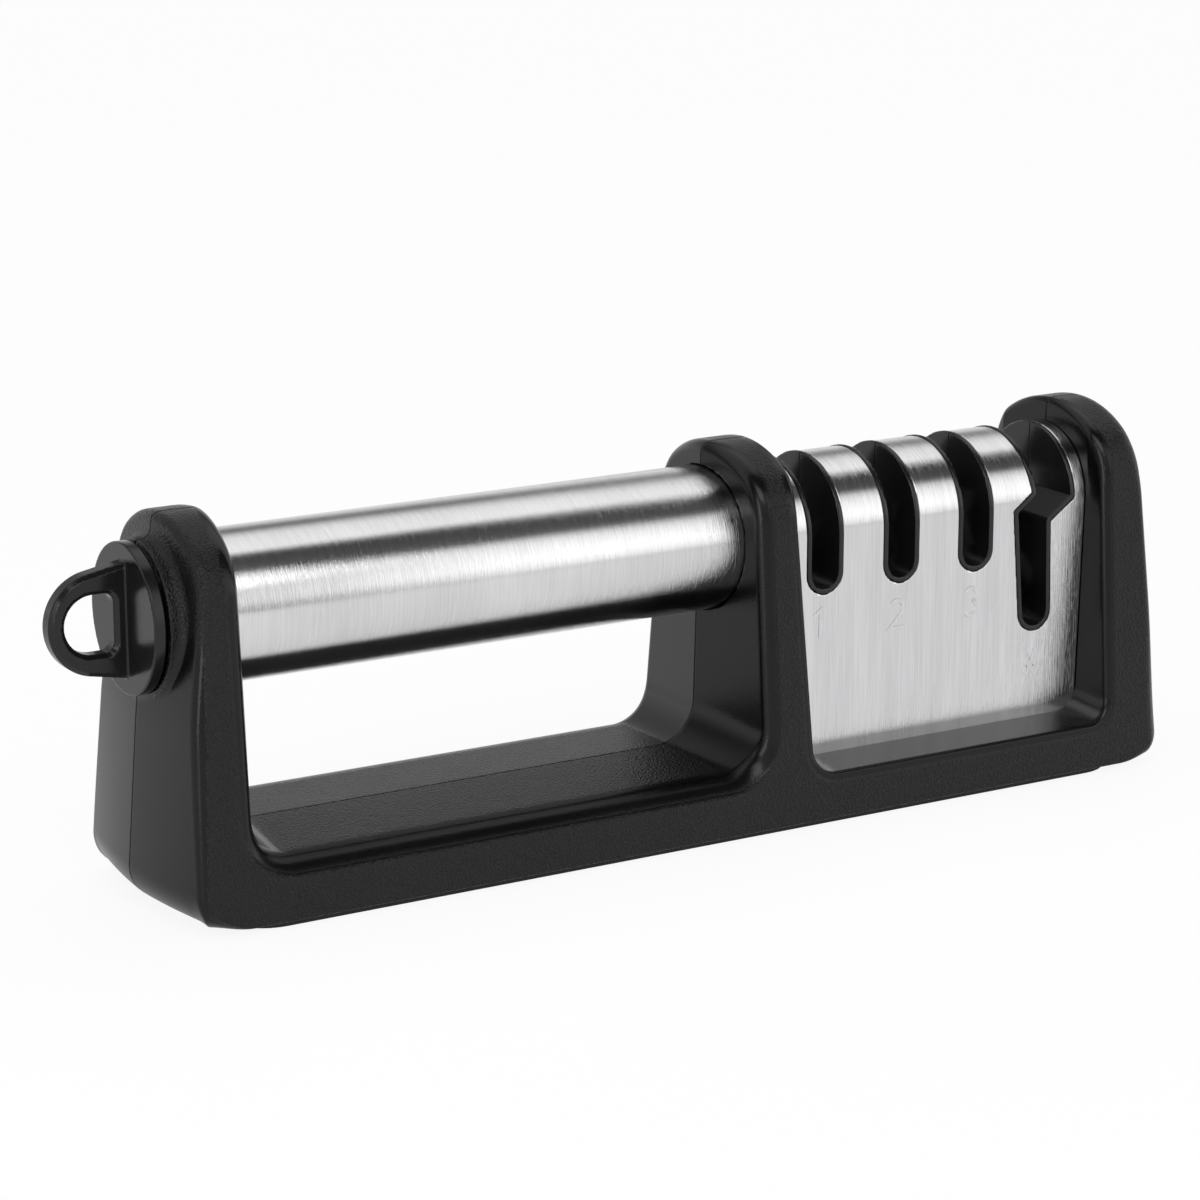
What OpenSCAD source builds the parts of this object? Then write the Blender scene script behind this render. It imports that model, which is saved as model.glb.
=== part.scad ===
// Four-stage pull-through knife sharpener with a round steel handle.
// X runs along the tool, Y from the user's side to the back, Z up.
// The origin is on the table, under the middle of the frame.

/* [Frame] */
// Height of the posts' crowns above the table
frame_h = 82.8; // [81.4:0.2:88]
// Depth of the frame at the foot
foot_d = 56.7; // [55:0.1:60]
// Lean of the front and back faces, in degrees
side_lean = 6; // [5:0.25:7]
// Lean of the left end face, in degrees
left_lean = 5.2; // [4:0.2:6]
// Lean of the right end face, in degrees
right_lean = 3.3; // [2.6:0.1:4.4]
// Radius over the crown of a post
crown_r = 28; // [24:0.5:32]
// Radius of a post's shoulders
shoulder_r = 14; // [11:0.5:16]
// Rounding between an end face and the sides and crown
corner_r = 5; // [3:0.5:7]
// Bow of the end faces
end_bow = 1.2; // [0.6:0.1:1.6]
// Radius under the two ends
heel_r = 8; // [6:0.5:9]
// Wall of the moulded halves
wall = 2.4; // [2:0.1:2.8]

/* [Hand bay] */
// Height of the base's top at the seam
base_h = 15.2; // [14.6:0.2:18]
// From the foot's left end to the bay's left wall
left_post = 19.7; // [19.1:0.2:22]
// Length of the bay along the seam
bay_l = 118.7; // [108:0.2:126]
// Radius of the bay's two bottom corners
bay_r = 9.5; // [6:0.5:12]
// Lean of the walls of the middle and right posts, in degrees
wall_lean = 1.5; // [0.5:0.25:2.5]
// How far the bay's walls draw back from the seam to the front
bay_draft = 2.4; // [1.5:0.1:3]
// How far the base's top falls from the seam to its lips
base_fall = 1.1; // [0.6:0.1:1.5]
// Radius of the rounded lips along the base
lip_r = 5.6; // [4:0.2:6]
// Rounding of the posts' edges beside the bay
post_edge = 2.7; // [1.5:0.1:3.2]
// From the pocket's right wall to the foot's right end
right_post = 17.8; // [17.2:0.2:21]

/* [Pocket] */
// Thickness of the centre post at the seam
mid_post = 13.7; // [13.1:0.1:16]
// Height of the pocket's floor
pocket_z = 12.4; // [11.8:0.1:13.4]
// Radius of the pocket's bottom corners
pocket_r = 4; // [2.5:0.25:6]
// How far the pocket widens from the cover to its edge
pocket_flare = 0.8; // [0.5:0.1:1.5]
// Rounding of the edges beside the pocket
pocket_edge = 1.7; // [1:0.1:2.4]
// Rounding of the pocket's lower edge
pocket_lip = 0.6; // [0.3:0.1:1.2]

/* [Handle] */
// Diameter of the steel handle tube
tube_d = 32; // [28:0.5:33]
// Wall of the steel handle tube
tube_t = 0.8; // [0.6:0.1:1.5]
// From the posts' crowns down to the tube's axis
tube_drop = 21.3; // [20.3:0.1:21.8]
// How deep each end of the tube sits in its post
tube_seat = 4; // [3:0.25:4.5]
// Length of the plugs inside the tube's ends
plug_l = 9; // [6:0.5:20]

/* [Hanging knob] */
// Diameter of the knob
knob_d = 31.7; // [28:0.1:33]
// Thickness of the knob's disc
knob_t = 3; // [2.2:0.1:4]
// Gap between the knob and its boss
knob_gap = 0.7; // [0.4:0.1:1]
// Distance of the boss face from the leaning end face
boss_proud = 0.8; // [0.4:0.1:1.4]
// Diameter of the knob's stem
stem_d = 12; // [9:0.5:14]
// Outer radius of the hanging ring
ring_r = 10.8; // [9.8:0.1:11.6]
// How far the ring stands out from the disc
ring_reach = 16.8; // [16:0.1:20]
// Half the height of the ring where it meets the disc
ring_root = 12.1; // [11.7:0.1:13.5]
// Radius of the hole in the ring
ring_hole_r = 6.2; // [4.5:0.1:6.6]
// Width of the ring at its far end
ring_w = 3.5; // [2.8:0.1:4.5]
// Thickness of the hanging ring
ring_t = 4.6; // [3.5:0.1:6]

/* [Steel cover] */
// Diameter of the cover's arch
cover_d = 32; // [31:0.25:32.5]
// Sheet thickness of the cover
cover_t = 0.6; // [0.4:0.1:0.8]
// How deep the cover's bottom edges sit in the pocket's floor
cover_tuck = 1.3; // [0.8:0.1:1.5]

/* [Slots] */
// From the pocket's left wall to the middle of the first slot
slot_start = 9.3; // [8.9:0.1:10.5]
// Distance between the middles of the three knife slots
slot_pitch = 20.5; // [19:0.1:22]
// From the middle of the third slot to the pocket's right wall
scissors_room = 30.8; // [30.6:0.1:34]
// Outer width of a knife slot's rim
slot_w = 9.5; // [9:0.1:10.2]
// Thickness of the slots' rims
rim_t = 1.2; // [1:0.1:1.4]
// How far the rims stand out of the cover
rim_proud = 0.2; // [0.1:0.1:0.5]
// Depth of the knife slots' outer rims below the tube's axis height
slot_drop = 12.5; // [10:0.5:15]

/* [Abrasives] */
// Diameter of the sharpening rods
rod_d = 3.4; // [2.8:0.1:3.6]
// Length of the sharpening rods
rod_l = 20; // [17:0.5:22]
// Lean of rods and carbide plates from the vertical, in degrees
hone_lean = 20; // [16:1:24]
// Thickness of the carbide plates
carbide_t = 1.8; // [1.4:0.1:2]
// Width of the carbide plates
carbide_w = 5; // [4:0.25:5.5]
// Length of the carbide plates
carbide_l = 17; // [15:0.5:18]

/* [Foot] */
// Thickness of the rubber sole
sole_t = 1.9; // [1.6:0.1:2.2]
// How far the sole stands out below the frame
sole_proud = 1.2; // [0.8:0.1:1.4]
// From the foot's two ends to the sole's ends
sole_inset = 13.4; // [12.6:0.2:17]
// From the foot's front and back edges to the sole's edges
sole_margin = 1.75; // [1.65:0.05:3]
// Corner radius of the sole
sole_r = 10; // [6:0.5:12]
// Thickness of the bottom plate
plate_t = 2.2; // [1.8:0.1:2.6]

/* [Screws] */
// Shank diameter of the frame screws
screw_d = 3; // [2.5:0.1:3.2]
// Head diameter of the frame screws
head_d = 5.6; // [5:0.1:6]
// Head height of the frame screws
head_h = 2; // [1.6:0.1:2.4]
// Shank diameter of the small screws
pin_d = 2; // [1.8:0.1:2.2]
// Head diameter of the small screws
pin_head_d = 3.8; // [3.4:0.1:4.2]
// Head height of the small screws
pin_head_h = 1.2; // [1:0.1:1.4]

/* [Hidden] */

// Facet counts of true rounds and of the faceted skin
round_fn = 64;
arc_n = 6;
heel_n = 3;

// One overrun for every cut, one thin plate for the skins, and the clearances
cut = 1;
film = 0.02;
fit = 0.05;
gap = 0.15;
sky = frame_h + cut;

// Lengths of the pocket, the frame and the sole, and the height of the tube's axis
pocket_l = slot_start + 2 * slot_pitch + scissors_room;
frame_l = left_post + bay_l + mid_post + pocket_l + right_post;
sole_l = frame_l - 2 * sole_inset;
sole_d = foot_d - 2 * sole_margin;
tube_z = frame_h - tube_drop;

// Outer lines of the frame
function half_d(z) = foot_d / 2 - (z - sole_proud) * tan(side_lean);
function left_x(z) = -frame_l / 2 + (z - sole_proud) * tan(left_lean);
function right_x(z) = frame_l / 2 - (z - sole_proud) * tan(right_lean);

// Walls of the bay and the pocket at the height of the tube's axis
bay_x0 = left_post - frame_l / 2;
bay_x1 = bay_x0 + bay_l;
pocket_x0 = bay_x1 + mid_post;
pocket_x1 = pocket_x0 + pocket_l;
function drift(z) = (z - tube_z) * tan(wall_lean);

// The knob's place on the left end
tube_r = tube_d / 2;
boss_x = left_x(tube_z) - boss_proud;
knob_x = boss_x - knob_gap;
knob_face = knob_x - knob_t;
knob_r = knob_d / 2;
knob_play = 0.6;
boss_r = knob_r + knob_play + fit;
boss_skirt = 2;
hub_x = boss_x + 3 * wall;
hub_r = stem_d / 2 + wall;
washer_t = 1.2;
washer_r = hub_r + gap;
stem_end = hub_x + gap;

// Seats of the tube
seat_left = bay_x0 - tube_seat;
seat_right = bay_x1 + tube_seat;
cup_r = tube_r + wall;
stop_r = tube_r - tube_t - wall / 2;

// The cover and the cartridge under it
cover_r = cover_d / 2;
groove_gap = 0.1;
shell_r = cover_r - cover_t - groove_gap;
rim_r = cover_r + rim_proud;
shell_t = wall * 3 / 4;
slot_z = tube_z - slot_drop;
slots = [for (i = [0 : 2]) pocket_x0 + slot_start + i * slot_pitch];
core_d = 6;
core_low = slot_z - 2 * wall;
core_high = tube_z + 2 * core_d;

// Round keys that hold the cartridge between the posts
key_z = core_low - 2 * wall - head_d / 2;
key_r = 4;
key_l = wall * 3 / 4;

// The V of each knife stage: height of its crossing, and each piece's offset from the seam
vee_z = slot_z + rim_t + rod_d;
rod_y = rod_d / 2 + fit * 4;
carbide_y = fit * 4;

// Screw places in the frame, as [x, z]; seats and threads measured from the seam
seat_y = 10;
thread_y = 8;
post_screws = [
    [bay_x0 - left_post * 5 / 12, tube_z / 2],
    [bay_x1 + mid_post / 2, tube_z - cup_r - head_d],
    [pocket_x1 + left_post * 3 / 8, tube_z / 2],
    [pocket_x1 + left_post * 3 / 8 - wall, tube_z]
];
boss_wall = 1.5;
cartridge_seat_y = seat_y - wall;

// Levels of the foot
plate_z = sole_t;
ledge_z = plate_z + plate_t;
plate_gap = 0.2;
plate_step = 1;
plate_l = sole_l - 2 * plate_step;
plate_d = sole_d - 2 * plate_step;
ledge_w = 2;
plate_screw_x = plate_l / 2 - head_d - wall;
plate_screw_y = plate_d / 4;

// Points along an arc of radius r about c, from angle a to angle b
function arc(c, r, a, b, n = arc_n) =
    [for (i = [0 : n]) let (t = a + (b - a) * i / n) c + r * [cos(t), sin(t)]];

// The same outline on the other side of the first axis
function flip(points) = [for (i = [len(points) - 1 : -1 : 0]) [-points[i][0], points[i][1]]];

// Where the line through p along u meets the line through q along v
function cross_point(p, u, q, v) =
    p + u * ((q[0] - p[0]) * v[1] - (q[1] - p[1]) * v[0]) / (u[0] * v[1] - u[1] * v[0]);

// A closed counter-clockwise outline moved inwards by g
function inset(points, g) = let (n = len(points)) [for (i = [0 : n - 1])
    let (
        a = points[(i + n - 1) % n], b = points[i], c = points[(i + 1) % n],
        u = (b - a) / norm(b - a), v = (c - b) / norm(c - b)
    ) cross_point(b + g * [-u[1], u[0]], u, b + g * [-v[1], v[0]], v)];

// Cross-section of the frame, as [y, z]: leaning sides, round shoulders and crown
crown = [0, frame_h - crown_r];
side_reach = foot_d / 2 * cos(side_lean) + sole_proud * sin(side_lean);
crown_turn = asin((side_reach - shoulder_r - sin(side_lean) * crown[1])
    / (crown_r - shoulder_r)) - side_lean;
shoulder = crown + (crown_r - shoulder_r) * [sin(crown_turn), cos(crown_turn)];
half_section = concat([[foot_d / 2, sole_proud], [half_d(sole_proud + heel_r), sole_proud + heel_r]],
    arc(shoulder, shoulder_r, side_lean, 90 - crown_turn),
    arc(crown, crown_r, 90 - crown_turn, 90));
section = concat(half_section, flip(half_section));

// The same section made smaller: in at its sides, its heels and its foot, down at the crown,
// and up at the foot
function shrunk(in, heel_in, foot_in, down, up) =
    let (z_share = 1 - (down + up) / (frame_h - sole_proud)) [
        for (p = section) let (z = p[1] - sole_proud) [
            p[0] * (1 - (z > heel_r + film ? in : z > 0 ? heel_in : foot_in) / half_d(tube_z)),
            sole_proud + up + z * z_share
        ]
    ];

// How far a rounding of radius r draws in at distance s from the face
function draw_in(r, s) = s < r ? r - sqrt(r * r - (r - s) * (r - s)) : 0;

// Opening between two walls with round bottom corners, as [x, z]
function opening(x0, x1, low, r) = concat(
    [[x0 - drift(sky), sky]],
    arc([x0 - drift(low + r) + r, low + r], r, 180, 270),
    arc([x1 + drift(low + r) - r, low + r], r, 270, 360),
    [[x1 + drift(sky), sky]]);
function pocket(side, down) = opening(pocket_x0 - side, pocket_x1 + side, pocket_z - down, pocket_r);

// The bay's opening, with an upright left wall, d behind the front face
bay_slope = bay_draft / half_d(tube_z);
function bay(side, low) = let (
    r = bay_r, up = bay_slope * (half_d(low + r) - half_d(tube_z)),
    top = bay_slope * (half_d(sky) - half_d(tube_z))
) concat(
    [[bay_x0 - side - top, sky]],
    arc([bay_x0 - side - up + r, low + r], r, 180, 270),
    arc([bay_x1 + side + up + drift(low + r) - r, low + r], r, 270, 360),
    [[bay_x1 + side + top + drift(sky), sky]]);

// Scissors slot, as [x, z]: a funnel that steps sideways into a narrower channel
scissors_funnel_l = 11.9;
scissors_step = 6.2;
scissors_wide = 11;
scissors_narrow = 9.1;
scissors_right = pocket_x1 - 2 * rim_t - rim_t / 2;
scissors_knee = tube_z + rim_t;
scissors_low = tube_z - 24.2;
scissors_rake = 4.2;
scissors = let (
    r = scissors_narrow / 2,
    bottom_x = scissors_right - scissors_step - r,
    left = scissors_right - scissors_funnel_l
) concat([[left - rim_t, sky], [left, scissors_knee + rim_t * 2],
        [scissors_right - scissors_step - scissors_wide, scissors_knee - rim_t]],
    arc([bottom_x, scissors_low], r, 180, 360),
    [[scissors_right - scissors_step - rim_t / 2, scissors_knee - scissors_rake - rim_t / 2],
        [scissors_right, scissors_knee], [scissors_right, sky]]);

// An outline in X and Z, drawn out along Y from y0 to y1
module slab(points, y0, y1)
    translate([0, y1, 0]) rotate([90, 0, 0]) linear_extrude(y1 - y0) polygon(points);

// A thin plate parallel to the leaning front face, d behind it
module leaning_plate(points, d)
    translate([0, d - foot_d / 2, sole_proud]) rotate([-side_lean, 0, 0])
        translate([0, 0, -sole_proud]) slab(points, 0, film);

// A bar along X of radius r from x0 to x1, at the height z or that of the tube's axis
module bar_at(z, r, x0, x1)
    translate([x0, 0, z]) rotate([0, 90, 0]) cylinder(r = r, h = x1 - x0, $fn = round_fn);
module bar(r, x0, x1) bar_at(tube_z, r, x0, x1);

// A pin along Y of radius r from y0 to y1
module pin(x, z, r, y0, y1)
    translate([x, y1, z]) rotate([90, 0, 0]) cylinder(r = r, h = y1 - y0, $fn = round_fn);

// A rectangle with round corners, from z0 to z1
module pad(l, d, r, z0, z1)
    translate([0, 0, z0]) linear_extrude(z1 - z0) {
        square([l - 2 * r, d], center = true);
        square([l, d - 2 * r], center = true);
        for (x = [-1, 1], y = [-1, 1])
            translate([x * (l / 2 - r), y * (d / 2 - r)]) circle(r = r, $fn = round_fn);
    }

// Inverted U of radius r about the handle's axis, from z0 up, over the pocket's length
module arch(r, z0) {
    bar(r, pocket_x0 - mid_post / 2, pocket_x1 + mid_post / 2);
    translate([pocket_x0 - mid_post / 2, -r, z0])
        cube([pocket_l + mid_post, 2 * r, tube_z - z0]);
}

// The frame as one solid loaf, before anything is cut from it
module loaf() intersection() {
    translate([-frame_l, 0, 0]) rotate([90, 0, 90]) linear_extrude(2 * frame_l) polygon(section);
    hull() {
        end_plates(left_x(tube_z), left_lean, 1);
        end_plates(right_x(tube_z), right_lean, -1);
    }
}
bow_share = 0.7;
module end_plates(x, lean, way)
    for (s = [0, end_bow, end_bow + corner_r / 6, end_bow + corner_r / 2, heel_r, 2 * heel_r]) {
        in = s == 0 ? half_d(tube_z) * bow_share : draw_in(corner_r, s - end_bow) - fit;
        heel_in = s == 0 ? in : draw_in(heel_r, s - end_bow) - fit;
        foot_in = s == 0 ? in : draw_in(2 * heel_r, s) - fit;
        down = draw_in(corner_r, s) - s * tan(lean) - 2 * gap;
        up = draw_in(heel_r, s) + s * tan(lean) - 2 * gap;
        translate([x, 0, tube_z]) rotate([0, way * lean, 0]) translate([way * s, 0, -tube_z])
            rotate([90, 0, 90]) linear_extrude(film)
                polygon(shrunk(in, heel_in, foot_in, down, up));
    }

// Cut that leaves the hand bay's front half, with its rounded lips
lip_share = 0.3;
module bay_plate(d) leaning_plate(
    bay(bay_draft - d * bay_slope + draw_in(post_edge, d), base_h - base_fall - draw_in(lip_r, d)),
    d - (d > 0 ? 0 : 2 * film));
module bay_cut() {
    hull() {
        slab(opening(bay_x0, bay_x1, base_h, bay_r), 0, film);
        bay_plate(lip_r);
    }
    hull() {
        bay_plate(lip_r);
        bay_plate(lip_r * lip_share);
    }
    hull() {
        bay_plate(lip_r * lip_share);
        bay_plate(0);
    }
}

// Cut that leaves the pocket's front half, flared from the cover to its edge
pocket_y = cover_r + rim_proud;
module pocket_cut() {
    slab(pocket(0, 0), -pocket_y, cut);
    hull() {
        slab(pocket(0, 0), -pocket_y, film - pocket_y);
        leaning_plate(pocket(pocket_flare, pocket_flare), pocket_edge);
    }
    hull() {
        leaning_plate(pocket(pocket_flare, pocket_flare), pocket_edge);
        leaning_plate(pocket(pocket_flare + pocket_edge, pocket_flare + pocket_lip), -2 * film);
    }
}

// Rounding of radius r on a post's edge over shoulder and crown, front half only.
// The post's wall is at x at the tube's height; way is 1 where the wall faces right.
module crown_edge(x, way, lean, draft, r) {
    ray = 2 * crown_r * [-sin(crown_turn), cos(crown_turn)];
    side = 2 * crown_r * [-cos(side_lean), sin(side_lean)];
    knee = [-shoulder[0], shoulder[1]];
    translate([x, 0, tube_z]) rotate([0, -way * lean, -way * draft]) translate([0, 0, -tube_z]) {
        intersection() {
            edge_ring(crown, crown_r, way, r);
            wedge([[-foot_d, knee[1]], [-foot_d, sky], [cut, sky], [cut, knee[1]]]);
        }
        intersection() {
            edge_ring(knee, shoulder_r, way, r);
            wedge([knee, knee + side, knee + ray]);
        }
    }
}
module wedge(points)
    translate([-2 * lip_r, 0, 0]) rotate([90, 0, 90]) linear_extrude(4 * lip_r) polygon(points);
module edge_ring(centre, big, way, r) {
    bevel = 22.5;
    reach = cut / tan(bevel);
    waist = r * (1 - cos(2 * bevel));
    translate([0, centre[0], centre[1]]) rotate([0, way * 90, 0]) rotate_extrude($fn = round_fn)
        polygon([[big - r - reach, cut], [big - waist, -waist], [big + cut, -r - reach],
            [big + cut, cut]]);
}
module crown_edges() {
    draft = atan(bay_slope);
    crown_edge(bay_x0, 1, 0, draft, post_edge);
    crown_edge(bay_x1, -1, wall_lean, draft, post_edge);
    crown_edge(pocket_x0, 1, wall_lean, 0, pocket_edge);
    crown_edge(pocket_x1, -1, wall_lean, 0, pocket_edge);
}

// Round boss on the left end, and the recess that its face makes below
module knob_boss() {
    bar(boss_r, boss_x, boss_x + 2 * wall);
    translate([boss_x + boss_skirt / 2, 0, tube_z]) rotate([0, 90, 0])
        cylinder(r1 = boss_r, r2 = boss_r + boss_skirt, h = boss_skirt, $fn = round_fn);
}

// Hollow inside the frame: three posts over one base, open underneath
roof_share = 0.82;
module cavity() {
    inner = half_d(tube_z) - wall;
    low = half_d(ledge_z) - wall - ledge_w;
    intersection() {
        rotate([90, 0, 90]) translate([0, 0, -frame_l / 2]) linear_extrude(frame_l)
            polygon([[low, ledge_z], [inner, tube_z], [inner * roof_share, tube_z + shoulder_r],
                [0, frame_h - 2 * wall], [-inner * roof_share, tube_z + shoulder_r],
                [-inner, tube_z], [-low, ledge_z]]);
        union() {
            post_hollow([[left_x(ledge_z) + heel_r, ledge_z], [bay_x0 - wall - bay_draft, ledge_z],
                [bay_x0 - wall - bay_draft, sky], [left_x(sky) + wall + end_bow, sky]]);
            post_hollow([[bay_x1 + wall + bay_draft, ledge_z], [pocket_x0 - wall, ledge_z],
                [pocket_x0 - wall - drift(sky), sky], [bay_x1 + wall + bay_draft + drift(sky), sky]]);
            post_hollow([[pocket_x1 + wall, ledge_z], [right_x(ledge_z) - heel_r, ledge_z],
                [right_x(sky) - wall - end_bow, sky], [pocket_x1 + wall + drift(sky), sky]]);
        }
    }
    base_hollow(bay_x0 - 2 * wall, bay_x1 + 2 * wall, base_h - base_fall - wall);
    base_hollow(pocket_x0 - 2 * wall, pocket_x1 + 2 * wall, pocket_z - cover_tuck - wall * 3 / 4);
    pad(sole_l + 2 * plate_gap, sole_d + 2 * plate_gap, sole_r, 0, plate_z);
    pad(plate_l + 2 * plate_gap, plate_d + 2 * plate_gap, sole_r, 0, ledge_z);
}
module post_hollow(points) slab(points, -foot_d / 2, foot_d / 2);
module base_hollow(x0, x1, top) {
    low = half_d(ledge_z) - wall - ledge_w;
    bevel = lip_r / 2;
    rotate([90, 0, 90]) translate([0, 0, x0]) linear_extrude(x1 - x0)
        polygon([[low, ledge_z], [low, top - bevel], [low - bevel, top],
            [-low + bevel, top], [-low, top - bevel], [-low, ledge_z]]);
}

// What stays solid inside the hollow: tube cups, knob hub and screw bosses
module supports() {
    bar(cup_r, seat_left - wall, bay_x0 + wall);
    bar(cup_r, bay_x1 - wall, seat_right + wall);
    bar(hub_r, boss_x, hub_x);
    for (s = post_screws)
        pin(s[0], s[1], head_d / 2 + gap + boss_wall, -foot_d / 2, foot_d / 2);
    for (x = [-1, 1], y = [-1, 1])
        translate([x * plate_screw_x, y * plate_screw_y, ledge_z])
            cylinder(r = pin_d / 2 + boss_wall, h = thread_y, $fn = round_fn);
}

// Everything that both halves are bored and grooved for
module frame_cuts() {
    bar(tube_r + fit, seat_left, bay_x0 + tube_seat);
    bar(tube_r + fit, bay_x1 - tube_seat, seat_right);
    bar(stop_r, hub_x, bay_x0);
    bar(stop_r, bay_x1, seat_right + 2 * wall);
    bar(stem_d / 2 + fit, boss_x - cut, hub_x + cut);
    bar(knob_r + knob_play, -frame_l / 2, boss_x);
    for (x = [-1, 1], y = [-1, 1])
        translate([x * plate_screw_x, y * plate_screw_y, ledge_z - cut])
            cylinder(r = pin_d / 2 + fit, h = thread_y, $fn = round_fn);
    cover_skin(pocket_z - cover_tuck - gap, gap);
    bar_at(key_z, key_r + fit, pocket_x0 - key_l - gap, pocket_x1 + key_l + gap);
}

// Front half of the frame, without the holes that differ between the halves
module front_half() difference() {
    intersection() {
        union() {
            loaf();
            knob_boss();
        }
        translate([-frame_l, -foot_d, 0]) cube([2 * frame_l, foot_d, sky]);
    }
    bay_cut();
    pocket_cut();
    crown_edges();
    difference() {
        cavity();
        supports();
    }
    frame_cuts();
}

module frame_front() color("#1d1d1e") difference() {
    front_half();
    for (s = post_screws) pin(s[0], s[1], screw_d / 2 + fit, -thread_y - cut, cut);
}

module frame_back() color("#1d1d1e") difference() {
    mirror([0, 1, 0]) front_half();
    for (s = post_screws) {
        pin(s[0], s[1], screw_d / 2 + gap, -cut, seat_y + cut);
        pin(s[0], s[1], head_d / 2 + gap, seat_y, foot_d);
    }
}

module frame_screws() color("silver") for (s = post_screws) {
    pin(s[0], s[1], screw_d / 2, -thread_y, seat_y + film);
    difference() {
        pin(s[0], s[1], head_d / 2, seat_y, seat_y + head_h);
        cross_slot(s[0], s[1], seat_y + head_h, head_d, head_h);
    }
}

// Cross recess in a screw head that faces the back
cross_l_share = 0.6;
cross_w_share = 0.14;
module cross_slot(x, z, y, d, h) for (t = [0, 90])
    translate([x, y, z]) rotate([0, t, 0])
        cube([d * cross_l_share, h, d * cross_w_share], center = true);

module handle_tube() color("#c9c9cc") difference() {
    bar(tube_r, seat_left, seat_right);
    bar(tube_r - tube_t, seat_left - cut, seat_right + cut);
}

// Plug that keeps one end of the tube round, open in the middle
module tube_plug(x0) color("#2a2a2c") difference() {
    bar(tube_r - tube_t - fit, x0, x0 + plug_l);
    bar(stop_r - wall, x0 - cut, x0 + plug_l + cut);
}
module tube_plug_left() tube_plug(seat_left);
module tube_plug_right() tube_plug(seat_right - plug_l);

// Knob: a disc on a stem, with a flat D-shaped ring to hang the tool by
ring_bevel = 0.8;
module ring_outline(g) {
    cx = knob_face - ring_reach + ring_r;
    rise = ring_root - g;
    lean = asin((ring_r - g) / norm([knob_face - cx, rise])) - atan(rise / (knob_face - cx));
    touch = [cx, 0] + (ring_r - g) * [-sin(lean), cos(lean)];
    translate([cx, 0]) circle(r = ring_r - g, $fn = round_fn);
    polygon([[cx, 0], touch, [knob_face, rise], [knob_x - knob_t / 2, rise],
        [knob_x - knob_t / 2, -rise], [knob_face, -rise], [touch[0], -touch[1]]]);
}
module ring_hole() {
    cx = knob_face - ring_reach + ring_w + ring_hole_r;
    soft = ring_hole_r / 3;
    flat = knob_face - ring_w * 3 / 4;
    translate([cx, 0]) circle(r = ring_hole_r, $fn = round_fn);
    translate([cx, -ring_hole_r]) square([flat - soft - cx, 2 * ring_hole_r]);
    translate([cx, soft - ring_hole_r]) square([flat - cx, 2 * (ring_hole_r - soft)]);
    for (s = [-1, 1]) translate([flat - soft, s * (ring_hole_r - soft)]) circle(r = soft, $fn = round_fn);
}
module ring_slice(t, g)
    translate([0, t / 2, tube_z]) rotate([90, 0, 0]) linear_extrude(t) difference() {
        ring_outline(g);
        ring_hole();
    }
module hang_knob() color("#141415") difference() {
    union() {
        bar(knob_r, knob_face, knob_x);
        bar(stem_d / 2, knob_x - knob_t / 2, stem_end);
        ring_slice(ring_t, ring_bevel);
        ring_slice(ring_t - 2 * ring_bevel, 0);
    }
    bar(screw_d / 2 + fit, knob_face + wall / 2, stem_end + cut);
}

module knob_washer() color("silver") difference() {
    bar(washer_r, stem_end, stem_end + washer_t);
    bar(screw_d / 2 + gap, stem_end - cut, stem_end + washer_t + cut);
}

module knob_screw() color("silver") {
    bar(screw_d / 2, knob_face + wall, stem_end + washer_t + film);
    bar(head_d / 2, stem_end + washer_t, stem_end + washer_t + head_h * 2 / 3);
}

// Sheet of the cover, grown by g on both faces, from z0 up
module cover_skin(z0, g) difference() {
    intersection() {
        arch(cover_r + g, z0);
        slab(cover_ends(g - gap), -foot_d, foot_d);
    }
    arch(cover_r - cover_t - g, z0 - cut);
}
function cover_ends(g) = opening(pocket_x0 - g, pocket_x1 + g, pocket_z - cover_tuck - gap, pocket_r);

// A knife slot as [x, z], g wider than its rim all round
module knife_slot(x, g) {
    r = slot_w / 2 + g;
    translate([x, slot_z + slot_w / 2]) circle(r = r, $fn = round_fn);
    translate([x - r, slot_z + slot_w / 2]) square([2 * r, sky - slot_z]);
}
module slot_cut(g) {
    translate([0, foot_d / 2, 0]) rotate([90, 0, 0]) linear_extrude(foot_d)
        for (x = slots) knife_slot(x, g);
    slab(inset(scissors, -g), -foot_d / 2, foot_d / 2);
}

module steel_cover() color("#c9c9cc") difference() {
    cover_skin(pocket_z - cover_tuck, 0);
    slot_cut(gap / 2);
}

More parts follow.
